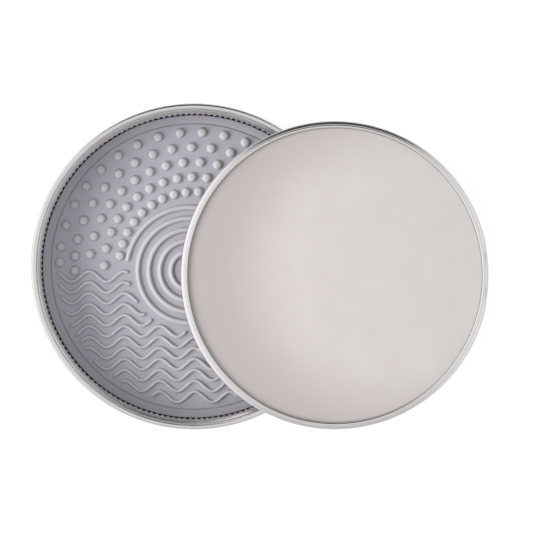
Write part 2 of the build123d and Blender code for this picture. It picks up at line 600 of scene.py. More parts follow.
@dataclass(frozen=True)
class CellSponge:
    """Damp cellulose sponge, with painted shade in its pores.

    Attributes:
        pore_scales: How fine the two sizes of small pores are.
        pore_shade_share: How much of the painted shade in the pores shows.
        roughness: Roughness between the pores and in them.
    """

    name: str = "cell_sponge"
    pore_scales: tuple[float, float] = (900.0, 1700.0)
    pore_shade_share: float = 0.8
    roughness: tuple[float, float] = (0.7, 0.95)
    colour: Colour = (0.72, 0.62, 0.40)
    pale_colour: Colour = (0.80, 0.72, 0.52)
    # Painted shade inside the pores.
    pore_shade_colour: Colour = (0.34, 0.26, 0.13)

    def material(self, effects: Effects) -> bpy.types.Material:
        """Builds the material.

        Args:
            effects: The shared effects.

        Returns:
            The material.
        """
        tree = MaterialTree(self.name)
        patches = tree.effect(effects.soft_patches, Scale=70.0, Spread=0.2).outputs["Patches"]
        base = tree.mix(patches, self.colour, self.pale_colour)
        pores = [tree.effect(effects.fine_grain, Scale=scale).outputs["Specks"] for scale in self.pore_scales]
        pore = tree.math("MAXIMUM", *pores)
        grain = tree.effect(effects.fine_grain, Scale=3000.0).outputs["Grain"]
        # Painted shade darkens the pores; their dents and roughness are real.
        return tree.finish(
            Base_Color=tree.mix(tree.math("MULTIPLY", pore, self.pore_shade_share), base, self.pore_shade_colour),
            Roughness=tree.steps(pore, 0.0, 1.0, *self.roughness),
            Normal=tree.bump(tree.math("SUBTRACT", grain, tree.math("MULTIPLY", pore, 3.0)), 0.7, 0.15 * MM),
            Specular_IOR_Level=0.3,
            Sheen_Weight=0.2,
        )


# ------------------------------------------------------------------------------
# Shapes
# ------------------------------------------------------------------------------


def smooth(share: np.ndarray) -> np.ndarray:
    """Runs smoothly from 0 to 1 as share does, and stays level outside."""
    share = np.clip(share, 0.0, 1.0)
    return share * share * (3.0 - 2.0 * share)


def rounded(points: Outline, radii: list[float], steps: int = 6) -> Outline:
    """Rounds the corners of an open outline with arcs.

    Args:
        points: The outline's points.
        radii: The radius at each inner point.
        steps: How many faces each arc gets.

    Returns:
        The points of the rounded outline.
    """
    out = [points[0]]
    for before, corner, after, radius in zip(points, points[1:], points[2:], radii):
        to_before = (Vector(before) - Vector(corner)).normalized()
        to_after = (Vector(after) - Vector(corner)).normalized()
        half = to_before.angle(to_after) / 2
        middle = Vector(corner) + (to_before + to_after).normalized() * (radius / math.sin(half))
        start = Vector(corner) + to_before * (radius / math.tan(half))
        sweep = (math.pi - 2 * half) * math.copysign(1.0, -to_before.cross(to_after))
        for step in range(steps + 1):
            turn = sweep * step / steps
            arm = start - middle
            out.append((
                middle.x + arm.x * math.cos(turn) - arm.y * math.sin(turn),
                middle.y + arm.x * math.sin(turn) + arm.y * math.cos(turn),
            ))
    return out + [points[-1]]


def arc(centre: tuple[float, float], radius: float, start: float, sweep: float, steps: int) -> Outline:
    """Points along an arc, without its first one; angles in degrees."""
    angles = np.radians(start + sweep * np.arange(1, steps + 1) / steps)
    return [(centre[0] + radius * math.cos(a), centre[1] + radius * math.sin(a)) for a in angles]


def turned_mesh(name: str, radii: np.ndarray, heights: np.ndarray, centre: Vector) -> bpy.types.Mesh:
    """A closed mesh turned about a vertical axis.

    Args:
        name: The mesh's name.
        radii: Distance from the axis, one row for each angle and one column for each outline point. The
            outline starts under the piece and ends on top of it, on the axis both times.
        heights: The same for the height.
        centre: The axis.

    Returns:
        The mesh, with its faces pointing out.
    """
    rows, columns = radii.shape
    angles = 2 * math.pi * np.arange(rows)[:, None] / rows
    inner = columns - 2
    x = centre.x + radii[:, 1:-1] * np.cos(angles)
    y = centre.y + radii[:, 1:-1] * np.sin(angles)
    points = np.stack([x, y, heights[:, 1:-1]], axis=-1).reshape(-1, 3)
    poles = [(centre.x, centre.y, heights[:, 0].mean()), (centre.x, centre.y, heights[:, -1].mean())]
    row, column = np.meshgrid(np.arange(rows), np.arange(inner - 1), indexing="ij")
    after = (row + 1) % rows
    here, there = row * inner + column, after * inner + column
    quads = np.stack([here, there, there + 1, here + 1], axis=-1)
    under, top = rows * inner, rows * inner + 1
    ends = [(under, ((i + 1) % rows) * inner, i * inner) for i in range(rows)]
    ends += [(top, i * inner + inner - 1, ((i + 1) % rows) * inner + inner - 1) for i in range(rows)]
    mesh = bpy.data.meshes.new(name)
    mesh.from_pydata(np.vstack([points, poles]).tolist(), [], quads.reshape(-1, 4).tolist() + ends)
    mesh.validate()
    return mesh


def turned_outline(name: str, outline: Outline, segments: int, centre: Vector) -> bpy.types.Mesh:
    """A closed mesh that is the same at every angle.

    Args:
        name: The mesh's name.
        outline: The outline, from under the piece to its top, on the axis both times.
        segments: Faces round the axis.
        centre: The axis.

    Returns:
        The mesh.
    """
    radii, heights = np.array(outline).T
    rows = np.ones((segments, 1))
    return turned_mesh(name, rows * radii, rows * heights, centre)


def joined(name: str, meshes: list[bpy.types.Mesh]) -> bpy.types.Mesh:
    """One mesh from several.

    Args:
        name: The new mesh's name.
        meshes: The meshes, each a closed shell.

    Returns:
        The new mesh.
    """
    sculpt = bmesh.new()
    for mesh in meshes:
        sculpt.from_mesh(mesh)
    result = bpy.data.meshes.new(name)
    sculpt.to_mesh(result)
    sculpt.free()
    return result


@dataclass
class Piece:
    """A finished piece of the palette.

    Attributes:
        name: The piece's name.
        node: The CAD node that it stands for.
        body: The body that it rides on.
        slot: The record's material slot. Not used.
    """

    name: str
    node: str
    body: Body
    slot: Slot

    def place(
        self, mesh: bpy.types.Mesh, material: bpy.types.Material, crease: float = 50.0
    ) -> bpy.types.Object:
        """Puts the piece in the scene.

        Args:
            mesh: Its mesh, in the CAD model's frame.
            material: Its finish.
            crease: Edges that turn by more than this many degrees stay sharp.

        Returns:
            The piece's object.
        """
        mesh.materials.clear()
        mesh.materials.append(material)
        mesh.shade_smooth()
        mesh.set_sharp_from_angle(angle=math.radians(crease))
        piece = bpy.data.objects.new(self.name, mesh)
        bpy.context.scene.collection.objects.link(piece)
        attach(piece, self.body.value)
        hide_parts(self.node)
        return piece

    def box(self) -> tuple[Vector, Vector]:
        """Lowest and highest corner of the CAD node."""
        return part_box(self.node)

    def centre(self) -> Vector:
        """Middle of the CAD node."""
        low, high = self.box()
        return (low + high) / 2

    def radius(self) -> float:
        """Half of the CAD node's width."""
        low, high = self.box()
        return (high.x - low.x) / 2


# ------------------------------------------------------------------------------
# Lid and base
# ------------------------------------------------------------------------------


@dataclass
class PressedThread:
    """A screw thread of one turn pressed into a wall.

    Attributes:
        way: Which way it bulges.
        depth: How far it bulges.
        height: Its height along the wall.
        middle: The level of its middle, half a turn from its ends.
        lead: How far it climbs in the turn.
        run_out: The angle over which each end fades, in degrees.
        flank: The share of half its height over which it rises.
    """

    way: Turn
    depth: float
    height: float
    middle: float
    lead: float = 1.5 * MM
    run_out: float = 14.0
    flank: float = 0.75

    def bulge(self, angles: np.ndarray, levels: np.ndarray) -> np.ndarray:
        """How far the wall stands out at each angle and level.

        Args:
            angles: Angles in radians from +X, as a column.
            levels: Heights, as a row.

        Returns:
            The radial shift.
        """
        level = self.middle + self.lead * (angles / (2 * math.pi) - 0.5)
        fade = smooth(np.minimum(angles, 2 * math.pi - angles) / math.radians(self.run_out))
        rise = smooth((1.0 - np.abs(levels - level) / (self.height / 2)) / self.flank)
        return self.way.value * self.depth * fade * rise


@dataclass
class GripFlutes:
    """Fine upright flutes pressed inwards round the band that the fingers turn.

    Attributes:
        count: How many.
        depth: How far they reach in.
        low: The band's lowest level.
        high: The band's highest level.
        set_back: How far the band between the flutes stands out.
        land: How sharply each flute ends, from 0 to 1.
    """

    count: int
    depth: float
    low: float
    high: float
    set_back: float = 0.25 * MM
    land: float = 0.4

    def press(self, angles: np.ndarray, levels: np.ndarray) -> np.ndarray:
        """How far the wall is pressed in or stands out at each angle and level.

        Args:
            angles: Angles in radians from +X, as a column.
            levels: Heights, as a row.

        Returns:
            The radial shift.
        """
        ridge = smooth((np.cos(angles * self.count + math.pi / 4) + self.land) / (2 * self.land))
        band = smooth((levels - self.low) / self.depth) * smooth((self.high - levels) / self.depth)
        return (self.set_back - self.depth * ridge) * band


@dataclass
class Pressing(Piece):
    """A round pan pressed from one aluminium sheet.

    Attributes:
        sheet: The sheet's thickness.
        segments: Faces round the pan.
        floor_share: The share of the wall's radius where the floor's rings stop.
    """

    sheet: float = 0.6 * MM
    segments: int = 360
    floor_share: float = 0.945

    def build(self, line: Outline, details: list[Callable], curl: Outline) -> bpy.types.Mesh:
        """Turns the middle line of the sheet and gives it its thickness.

        Args:
            line: The line from the axis out and up the wall, as radius and height.
            details: Functions that give the wall's radial shift for angles and levels.
            curl: The rolled end of the line, which no detail shifts.

        Returns:
            The closed shell.
        """
        angles = 2 * math.pi * np.arange(self.segments)[:, None] / self.segments
        plan = np.array(line)
        radii = np.repeat(plan[None, :, 0], self.segments, axis=0)
        levels = np.repeat(plan[None, :, 1], self.segments, axis=0)
        for detail in details:
            radii = radii + detail(angles, levels[:1])
        end = np.array(curl)
        radii = np.hstack([radii, np.repeat(end[None, :, 0], self.segments, axis=0)])
        levels = np.hstack([levels, np.repeat(end[None, :, 1], self.segments, axis=0)])
        along_r, along_z = np.gradient(radii, axis=1), np.gradient(levels, axis=1)
        length = np.hypot(along_r, along_z)
        aside_r, aside_z = -along_z / length * self.sheet / 2, along_r / length * self.sheet / 2
        aside_r[:, 0] = 0.0
        under_r, under_z = radii - aside_r, levels - aside_z
        top_r, top_z = radii + aside_r, levels + aside_z
        return turned_mesh(
            self.name,
            np.hstack([under_r, top_r[:, ::-1]]),
            np.hstack([under_z, top_z[:, ::-1]]),
            self.centre(),
        )

    def floor(self, radius: float, level: float, corner: float, top: float, steps: int) -> Outline:
        """The floor from the axis out, and its rounded corner.

        Args:
            radius: Radius of the wall.
            level: Level of the floor.
            corner: Radius of the corner.
            top: The level that the wall is drawn up to.
            steps: How many faces the corner gets.

        Returns:
            The points of the line.
        """
        rings = [(radius * share, level) for share in (0.0, 0.25, 0.5, 0.7, 0.82, 0.9)]
        turn = [(radius * self.floor_share, level), (radius, level), (radius, top)]
        return rings + rounded(turn, [corner], steps)


@dataclass
class Lid(Pressing):
    """The lid, on its top with its mouth up.

    Attributes:
        bead: Diameter of the bead rolled outwards at the mouth.
        thread_depth: How far the thread stands in from the wall.
        thread_height: Height of the thread.
        thread_level: Level of the thread's middle.
        step_in: From the mouth's wall in to the grip band.
        grip_levels: Levels along the grip band, where its flutes are drawn.
        grip_top: Level of the grip band's upper end.
        step_rise: Height of the step between the band and the wall.
        wall_low: Level where the threaded wall starts.
        corner: Radius of the corner at the floor.
        flutes: How many flutes the grip band has.
        flute_depth: How far the flutes reach in.
        flute_levels: Lowest and highest level of the flutes.
        curl_sweep: How far the bead is rolled round, in degrees.
    """

    bead: float = 2.3 * MM
    thread_depth: float = 1.35 * MM
    thread_height: float = 2.6 * MM
    thread_level: float = 10.3 * MM
    step_in: float = 1.5 * MM
    grip_levels: tuple[float, ...] = (2.7 * MM, 3.4 * MM, 4.2 * MM, 5.0 * MM, 5.6 * MM)
    grip_top: float = 6.4 * MM
    step_rise: float = 1.0 * MM
    wall_low: float = 8.15 * MM
    corner: float = 1.5 * MM
    flutes: int = 170
    flute_depth: float = 0.58 * MM
    flute_levels: tuple[float, float] = (1.7 * MM, 6.5 * MM)
    curl_sweep: float = 262.0

    def mesh(self) -> bpy.types.Mesh:
        """Draws the sheet's middle line and turns it.

        Returns:
            The lid's closed shell.
        """
        low, high = self.box()
        half = self.sheet / 2
        curl = self.bead / 2 - half
        wall = self.radius() - self.bead + half
        grip = wall - self.step_in
        curl_level = high.z - self.bead / 2
        band = [(grip, level) for level in self.grip_levels]
        step_low, step_high = self.grip_top - self.sheet, self.grip_top + self.step_rise
        step = rounded(
            [(grip, step_low), (grip, self.grip_top), (wall, step_high), (wall, step_high + self.sheet)],
            [self.sheet, half],
            4,
        )
        line = self.floor(grip, low.z + half, self.corner, 2.4 * MM, 6) + band + step
        line += [(wall, level) for level in np.linspace(self.wall_low, curl_level, 24)]
        thread = PressedThread(Turn.INWARD, self.thread_depth, self.thread_height, self.thread_level)
        flutes = GripFlutes(self.flutes, self.flute_depth, *self.flute_levels)
        bead = arc((wall + curl, curl_level), curl, 180, -self.curl_sweep, 16)
        return self.build(line, [thread.bulge, flutes.press], bead)

    def make(self, effects: Effects) -> bpy.types.Object:
        """Builds and dresses the lid.

        Args:
            effects: The shared effects.

        Returns:
            The lid's object.
        """
        # Painted shade covers the inner wall from the grip band's top to under the bead, with a painted dark
        # line at the thread's middle depth.
        threaded = (self.grip_top, self.box()[1].z - 0.85 * self.bead)
        crease = self.radius() - self.bead - self.thread_depth / 2
        finish = SpunAluminium("lid_aluminium", self.centre(), threaded, crease)
        return self.place(self.mesh(), finish.material(effects))


@dataclass
class Base(Pressing):
    """The base, with a neck, an outward thread and a lip rolled inwards.

    Attributes:
        lip: Diameter of the rolled lip.
        neck_inset: From the CAD node's edge in to the neck.
        thread_depth: How far the thread stands out of the neck.
        thread_height: Height of the thread.
        thread_drop: From the lip's top down to the thread's middle.
        body_height: Height of the plain wall.
        step_in: From the plain wall in to the neck.
        step_rise: Height of the step between the plain wall and the neck.
        corner: Radius of the corner at the floor.
        curl_sweep: How far the lip is rolled round, in degrees.
    """

    lip: float = 1.35 * MM
    neck_inset: float = 1.45 * MM
    thread_depth: float = 1.27 * MM
    thread_height: float = 2.4 * MM
    thread_drop: float = 6.2 * MM
    body_height: float = 7.85 * MM
    step_in: float = 1.15 * MM
    step_rise: float = 1.0 * MM
    corner: float = 2.2 * MM
    curl_sweep: float = 262.0

    def mesh(self) -> bpy.types.Mesh:
        """Draws the sheet's middle line and turns it.

        Returns:
            The base's closed shell.
        """
        low, high = self.box()
        half = self.sheet / 2
        neck = self.radius() - self.neck_inset - half
        body = neck + self.step_in
        curl = self.lip / 2 - half
        curl_level = high.z - self.lip / 2
        shoulder = low.z + self.body_height
        step_top = shoulder + self.step_rise
        step = rounded(
            [(body, shoulder - 0.7 * MM), (body, shoulder), (neck, step_top), (neck, step_top + self.sheet)],
            [self.sheet, half],
            5,
        )
        line = self.floor(body, low.z + half, self.corner, low.z + 3.0 * MM, 8)
        line += [(body, low.z + 5.0 * MM)] + step
        line += [(neck, level) for level in np.linspace(step_top + 0.75 * MM, curl_level, 36)]
        thread = PressedThread(Turn.OUTWARD, self.thread_depth, self.thread_height, high.z - self.thread_drop)
        lip = arc((neck - curl, curl_level), curl, 0, self.curl_sweep, 14)
        return self.build(line, [thread.bulge], lip)

    def make(self, effects: Effects) -> bpy.types.Object:
        """Builds and dresses the base.

        Args:
            effects: The shared effects.

        Returns:
            The base's object.
        """
        low, high = self.box()
        # Painted shade covers the inner wall from the floor to under the lip.
        finish = SpunAluminium("base_aluminium", self.centre(), (low.z, high.z - self.lip))
        return self.place(self.mesh(), finish.material(effects))


# ------------------------------------------------------------------------------
# Texture mat
# ------------------------------------------------------------------------------


def moulded_rib_group() -> Group:
    """A rib with a rounded top and flared feet along a flat curve.

    Returns:
        A Geometry Nodes group that takes curves and gives closed ribs with rounded ends.
    """
    inputs = {
        "Curve": (GEOMETRY, None),
        "Half Width": (FLOAT, 0.7 * MM),
        "Height": (FLOAT, 0.8 * MM),
        "Crown": (FLOAT, 0.62),
        "Sunk": (FLOAT, 0.06 * MM),
    }
    group = Group("moulded_rib", "GeometryNodeTree", inputs, {"Mesh": GEOMETRY})
    given = group.given
    line = group.feed(group.add("GeometryNodeCurvePrimitiveLine"), Start=(-1, 0, 0), End=(1, 0, 0))
    points = group.feed(group.add("GeometryNodeResampleCurve", mode="COUNT"), Curve=line.outputs[0], Count=13)
    across = group.apart(group.add("GeometryNodeInputPosition").outputs[0])[0]
    steep = group.math("POWER", group.math("DIVIDE", group.math("ABSOLUTE", across), given["Crown"]), 3.0)
    crown = group.math("EXPONENT", group.math("MULTIPLY", steep, -1.0))
    rise = group.math("SUBTRACT", group.math("MULTIPLY", crown, given["Height"]), given["Sunk"])
    section = group.feed(
        group.add("GeometryNodeSetPosition"),
        Geometry=points.outputs[0],
        Position=group.together(
            group.math("MULTIPLY", across, given["Half Width"]), group.math("MULTIPLY", rise, -1.0)
        ),
    )
    closed = group.feed(group.add("GeometryNodeSetSplineCyclic"), Geometry=section.outputs[0], Cyclic=True)
    upright = group.feed(group.add("GeometryNodeSetCurveNormal", mode="Z_UP"), Curve=given["Curve"])
    run = group.add("GeometryNodeSplineParameter").outputs["Length"]
    whole = group.add("GeometryNodeSplineLength").outputs["Length"]
    from_end = group.math("MINIMUM", run, group.math("SUBTRACT", whole, run))
    share = group.math("MINIMUM", group.math("DIVIDE", from_end, given["Half Width"]), 1.0)
    short = group.math("SUBTRACT", 1.0, share)
    round_end = group.math("SUBTRACT", 1.0, group.math("MULTIPLY", short, short))
    taper = group.math("SQRT", group.math("MAXIMUM", round_end, 0.01))
    ring = group.add("GeometryNodeInputSplineCyclic").outputs[0]
    rib = group.feed(
        group.add("GeometryNodeCurveToMesh"),
        Curve=upright.outputs[0],
        Profile_Curve=closed.outputs[0],
        Scale=group.math("MAXIMUM", taper, ring),
        Fill_Caps=True,
    )
    group.put(group.result["Mesh"], rib.outputs[0])
    return group


def dressed(group: Group, geometry: Socket) -> None:
    """Ends a tree in Realize Instances and Set Material, with the tree's own Material input.

    Args:
        group: The tree.
        geometry: The geometry to end with.
    """
    whole = group.feed(group.add("GeometryNodeRealizeInstances"), Geometry=geometry)
    finished = group.add("GeometryNodeSetMaterial")
    group.feed(finished, Geometry=whole.outputs[0], Material=group.given["Material"])
    group.put(group.result["Geometry"], finished.outputs[0])


def wave_field_group(rib: Group) -> Group:
    """Rows of wave lines, kept inside a circle and clear of the rings.

    Args:
        rib: The group that gives a curve its rib.

    Returns:
        The Geometry Nodes group.
    """
    inputs = {
        "Geometry": (GEOMETRY, None),
        "Line Count": (INTEGER, 12),
        "Line Pitch": (FLOAT, 4.0 * MM),
        "First Line": (FLOAT, 0.0),
        "Wavelength": (FLOAT, 13.0 * MM),
        "Amplitude": (FLOAT, 1.9 * MM),
        "Crest": (FLOAT, 0.0),
        "Limit": (FLOAT, 50.0 * MM),
        "Ring Centre": (VECTOR, (0.0, 0.0, 0.0)),
        "Ring Clearance": (FLOAT, 20.0 * MM),
        "Point Spacing": (FLOAT, 0.4 * MM),
        "Level": (FLOAT, 0.0),
        "Half Width": (FLOAT, 0.7 * MM),
        "Height": (FLOAT, 0.8 * MM),
        "Material": ("NodeSocketMaterial", None),
    }
    group = Group("wave_field", "GeometryNodeTree", inputs, {"Geometry": GEOMETRY})
    given = group.given
    left_end = group.math("MULTIPLY", given["Limit"], -1.0)
    starts = group.feed(
        group.add("GeometryNodeMeshLine", mode="OFFSET"),
        Count=given["Line Count"],
        Start_Location=group.together(left_end, given["First Line"], given["Level"]),
        Offset=group.together(0.0, group.math("MULTIPLY", given["Line Pitch"], -1.0)),
    )
    point_count = group.math("DIVIDE", group.math("MULTIPLY", given["Limit"], 2.0), given["Point Spacing"])
    line = group.feed(
        group.add("GeometryNodeMeshLine", mode="OFFSET"),
        Count=point_count,
        Offset=group.together(given["Point Spacing"]),
    )
    lines = group.add("GeometryNodeInstanceOnPoints")
    group.feed(lines, Points=starts.outputs[0], Instance=line.outputs[0])
    real = group.feed(group.add("GeometryNodeRealizeInstances"), Geometry=lines.outputs[0])
    place = group.add("GeometryNodeInputPosition").outputs[0]
    x = group.apart(place)[0]
    turns = group.math("DIVIDE", group.math("SUBTRACT", x, given["Crest"]), given["Wavelength"])
    wave = group.math("COSINE", group.math("MULTIPLY", turns, 2 * math.pi))
    swing = group.math("MULTIPLY", wave, given["Amplitude"])
    waved = group.add("GeometryNodeSetPosition")
    group.feed(waved, Geometry=real.outputs[0], Offset=group.together(0.0, swing))
    now_x, now_y, _ = group.apart(place)
    ring_x, ring_y, _ = group.apart(given["Ring Centre"])
    outside = group.math("GREATER_THAN", group.length(now_x, now_y), given["Limit"])
    to_ring = group.length(group.math("SUBTRACT", now_x, ring_x), group.math("SUBTRACT", now_y, ring_y))
    crowded = group.math("LESS_THAN", to_ring, given["Ring Clearance"])
    kept = group.feed(
        group.add("GeometryNodeDeleteGeometry", domain="POINT"),
        Geometry=waved.outputs[0],
        Selection=group.math("MAXIMUM", outside, crowded),
    )
    curves = group.feed(group.add("GeometryNodeMeshToCurve"), Mesh=kept.outputs[0])
    ribs = group.add("GeometryNodeGroup", node_tree=rib.tree)
    group.feed(ribs, Curve=curves.outputs[0], Half_Width=given["Half Width"], Height=given["Height"])
    dressed(group, ribs.outputs[0])
    return group


def ring_field_group(rib: Group) -> Group:
    """Rings about one centre, and an open arc over the upper half of them.

    Args:
        rib: The group that gives a curve its rib.

    Returns:
        The Geometry Nodes group.
    """
    inputs = {
        "Geometry": (GEOMETRY, None),
        "Centre": (VECTOR, (0.0, 0.0, 0.0)),
        "Ring Count": (INTEGER, 4),
        "First Radius": (FLOAT, 7.0 * MM),
        "Ring Pitch": (FLOAT, 4.1 * MM),
        "Arc End": (FLOAT, 0.13),
        "Half Width": (FLOAT, 0.95 * MM),
        "Height": (FLOAT, 0.8 * MM),
        "Crown": (FLOAT, 0.74),
        "Material": ("NodeSocketMaterial", None),
    }
    group = Group("ring_field", "GeometryNodeTree", inputs, {"Geometry": GEOMETRY})
    given = group.given
    spots = group.feed(group.add("GeometryNodePoints"), Count=given["Ring Count"])
    index = group.add("GeometryNodeInputIndex").outputs[0]
    radius = group.math("ADD", given["First Radius"], group.math("MULTIPLY", index, given["Ring Pitch"]))
    circle = group.add("GeometryNodeCurvePrimitiveCircle", mode="RADIUS")
    group.feed(circle, Resolution=180, Radius=1.0)
    rings = group.feed(
        group.add("GeometryNodeInstanceOnPoints"),
        Points=spots.outputs[0],
        Instance=circle.outputs[0],
        Scale=group.together(radius, radius, 1.0),
    )
    real = group.feed(group.add("GeometryNodeRealizeInstances"), Geometry=rings.outputs[0])
    all_rings = group.math("MULTIPLY", given["Ring Count"], given["Ring Pitch"])
    outer = group.math("ADD", given["First Radius"], all_rings)
    open_arc = group.feed(
        group.add("GeometryNodeCurveArc", mode="RADIUS"),
        Resolution=180,
        Radius=outer,
        Start_Angle=given["Arc End"],
        Sweep_Angle=group.math("SUBTRACT", math.pi, group.math("MULTIPLY", given["Arc End"], 2.0)),
    )
    both = group.add("GeometryNodeJoinGeometry")
    group.put(both.inputs[0], real.outputs[0])
    group.put(both.inputs[0], open_arc.outputs[0])
    placed = group.add("GeometryNodeTransform")
    group.feed(placed, Geometry=both.outputs[0], Translation=given["Centre"])
    ribs = group.add("GeometryNodeGroup", node_tree=rib.tree)
    group.feed(ribs, Curve=placed.outputs[0], Half_Width=given["Half Width"], Height=given["Height"])
    group.feed(ribs, Crown=given["Crown"])
    dressed(group, ribs.outputs[0])
    return group


def stud_field_group() -> Group:
    """The same stud on every point of a mesh.

    Returns:
        The Geometry Nodes group.
    """
    inputs = {
        "Geometry": (GEOMETRY, None),
        "Stud": ("NodeSocketObject", None),
        "Material": ("NodeSocketMaterial", None),
    }
    group = Group("stud_field", "GeometryNodeTree", inputs, {"Geometry": GEOMETRY})
    stud = group.feed(group.add("GeometryNodeObjectInfo"), Object=group.given["Stud"])
    studs = group.feed(
        group.add("GeometryNodeInstanceOnPoints"),
        Points=group.given["Geometry"],
        Instance=stud.outputs["Geometry"],
    )
    dressed(group, studs.outputs[0])
    return group


@dataclass
class StudRow:
    """One row of studs round the mat.

    Attributes:
        start: Angle of the row's middle stud, in degrees from +X.
        regular: How many studs follow it to the left at the even pitch.
        closing: Angles of the last studs on the left, which close up to the waves.
    """

    start: float
    regular: int
    closing: tuple[float, ...] = ()

    def angles(self, pitch: float) -> list[float]:
        """Angles of the row's studs.

        Args:
            pitch: The even pitch, in degrees.

        Returns:
            The angles in degrees.
        """
        left = [self.start + pitch * n for n in range(self.regular + 1)] + list(self.closing)
        last = 180.0 - left[-1]
        count = math.ceil((self.start - last) / pitch - 1.6)
        return left + [self.start - pitch * n for n in range(1, count + 1)] + [last]


@dataclass
class TextureMat(Piece):
    """The silicone mat in the lid, with studs, rings and waves for working paint and cleaning brushes.

    Attributes:
        border: Width of the flat border outside the groove.
        groove: Width and depth of the groove.
        give: How far the soft edge spreads towards the flutes.
        thickness: Thickness of the plain mat.
        stud_radius: Radius of a stud at its foot.
        stud_height: Height of a stud.
        stud_shoulder: The share of its radius where it has fallen to about a third of its height.
        stud_steepness: How steeply it falls there.
        stud_dome: The share of its height that its top slopes down by.
        edge: Radius of the mat's lower edge.
        brim: Radius of its upper edge and of the groove's edges.
        row_inset: From the groove to the outermost row of studs.
        row_pitch: Between rows.
        stud_pitch: Between the studs of a row, in degrees.
        rows: The rows, from the inner one out.
        ring_centre: Centre of the rings.
        ring_count: How many whole rings there are.
        ring_first: Radius of the smallest ring.
        ring_pitch: Between rings.
        ring_half: Half of a ring's width.
        arc_end: Angle of the open arc's ends above the X axis, in degrees.
        rib_height: Height of the rings and waves.
        wave_count: How many wave lines there are.
        wave_pitch: Between wave lines.
        wave_first: Middle of the uppermost wave line.
        wavelength: From crest to crest.
        wave_swing: How far a wave line swings to either side.
        wave_crest: Where one of the crests is.
        wave_spacing: Between the points of a wave line.
        wave_half: Half of a wave line's width.
        wave_limit: How far from the axis the wave lines reach.
        ring_clearance: How far from the rings' centre they stop.
    """

    border: float = 2.8 * MM
    groove: float = 0.5 * MM
    give: float = 0.15 * MM
    thickness: float = 1.6 * MM
    stud_radius: float = 2.0 * MM
    stud_height: float = 1.0 * MM
    stud_shoulder: float = 0.83
    stud_steepness: float = 6.5
    stud_dome: float = 0.15
    edge: float = 1.2 * MM
    brim: float = 0.12 * MM
    row_inset: float = 3.25 * MM
    row_pitch: float = 5.5 * MM
    stud_pitch: float = 360.0 / 38
    rows: tuple[StudRow, ...] = (
        StudRow(86.4, 9),
        StudRow(91.1, 7, (168.4, 179.4)),
        StudRow(86.4, 7, (163.2, 173.2)),
        StudRow(91.1, 8, (174.9, 182.0)),
        StudRow(86.4, 9, (178.2,)),
    )
    ring_centre: tuple[float, float] = (-1.5 * MM, -1.5 * MM)
    ring_count: int = 4
    ring_first: float = 6.95 * MM
    ring_pitch: float = 4.09 * MM
    ring_half: float = 1.25 * MM
    arc_end: float = 7.7
    rib_height: float = 0.8 * MM
    wave_count: int = 12
    wave_pitch: float = 4.04 * MM
    wave_first: float = -3.7 * MM
    wavelength: float = 13.02 * MM
    wave_swing: float = 1.9 * MM
    wave_crest: float = 0.44 * MM
    wave_spacing: float = 0.35 * MM
    wave_half: float = 1.0 * MM
    wave_limit: float = 50.9 * MM
    ring_clearance: float = 22.2 * MM

    def top(self) -> float:
        """Level of the plain mat's upper face."""
        return self.box()[0].z + self.thickness

    def groove_radius(self) -> float:
        """Radius of the groove's middle."""
        return self.radius() - self.border

    def disc(self) -> bpy.types.Mesh:
        """Draws the plain mat with its groove.

        Returns:
            Its closed mesh.
        """
        low, radius, top = self.box()[0].z, self.radius() + self.give, self.top()
        outer, inner = self.groove_radius() + self.groove / 2, self.groove_radius() - self.groove / 2
        bottom, brim = top - self.groove, self.brim
        shape = rounded(
            [
                (radius * 0.9, low), (radius, low), (radius, top), (outer, top), (outer - brim, bottom),
                (inner + brim, bottom), (inner, top), (radius * 0.9, top),
            ],
            [self.edge, brim, brim, brim / 2, brim / 2, brim],
            4,
        )
        rings = [(radius * share, low) for share in (0.0, 0.3, 0.6)]
        shape = rings + shape + [(r, top) for r, _ in reversed(rings)]
        return turned_outline("mat_disc", shape, 360, self.centre())

    def stud(self) -> bpy.types.Object:
        """Makes one stud: nearly flat on top, rounded over, with a flared foot.

        Returns:
            The stud, with the middle of its foot at the origin.
        """
        sunk = 0.06 * MM
        shares = np.array([0.0, 0.3, 0.5, 0.63, 0.72, 0.79, 0.85, 0.9, 0.95, 1.0])
        fall = np.exp(-((shares / self.stud_shoulder) ** self.stud_steepness))
        rise = fall * (1 - self.stud_dome * shares**2)
        radii = np.concatenate([[0.0], shares[::-1]]) * self.stud_radius
        levels = np.concatenate([[-sunk], rise[::-1] * self.stud_height - sunk * shares[::-1] ** 6])
        radii[1], levels[1] = self.stud_radius, -sunk
        mesh = turned_outline("stud", list(zip(radii, levels)), 20, Vector((0, 0, 0)))
        stud = bpy.data.objects.new("stud", mesh)
        bpy.context.scene.collection.objects.link(stud)
        return stud

    def stud_places(self) -> bpy.types.Mesh:
        """Works out where the studs stand.

        Returns:
            Their places, as the points of a mesh.
        """
        points = []
        outermost = self.groove_radius() - self.row_inset
        for number, row in enumerate(self.rows):
            radius = outermost - self.row_pitch * (len(self.rows) - 1 - number)
            for angle in np.radians(row.angles(self.stud_pitch)):
                points.append((radius * math.cos(angle), radius * math.sin(angle), self.top()))
        mesh = bpy.data.meshes.new("stud_places")
        mesh.from_pydata(points, [], [])
        return mesh

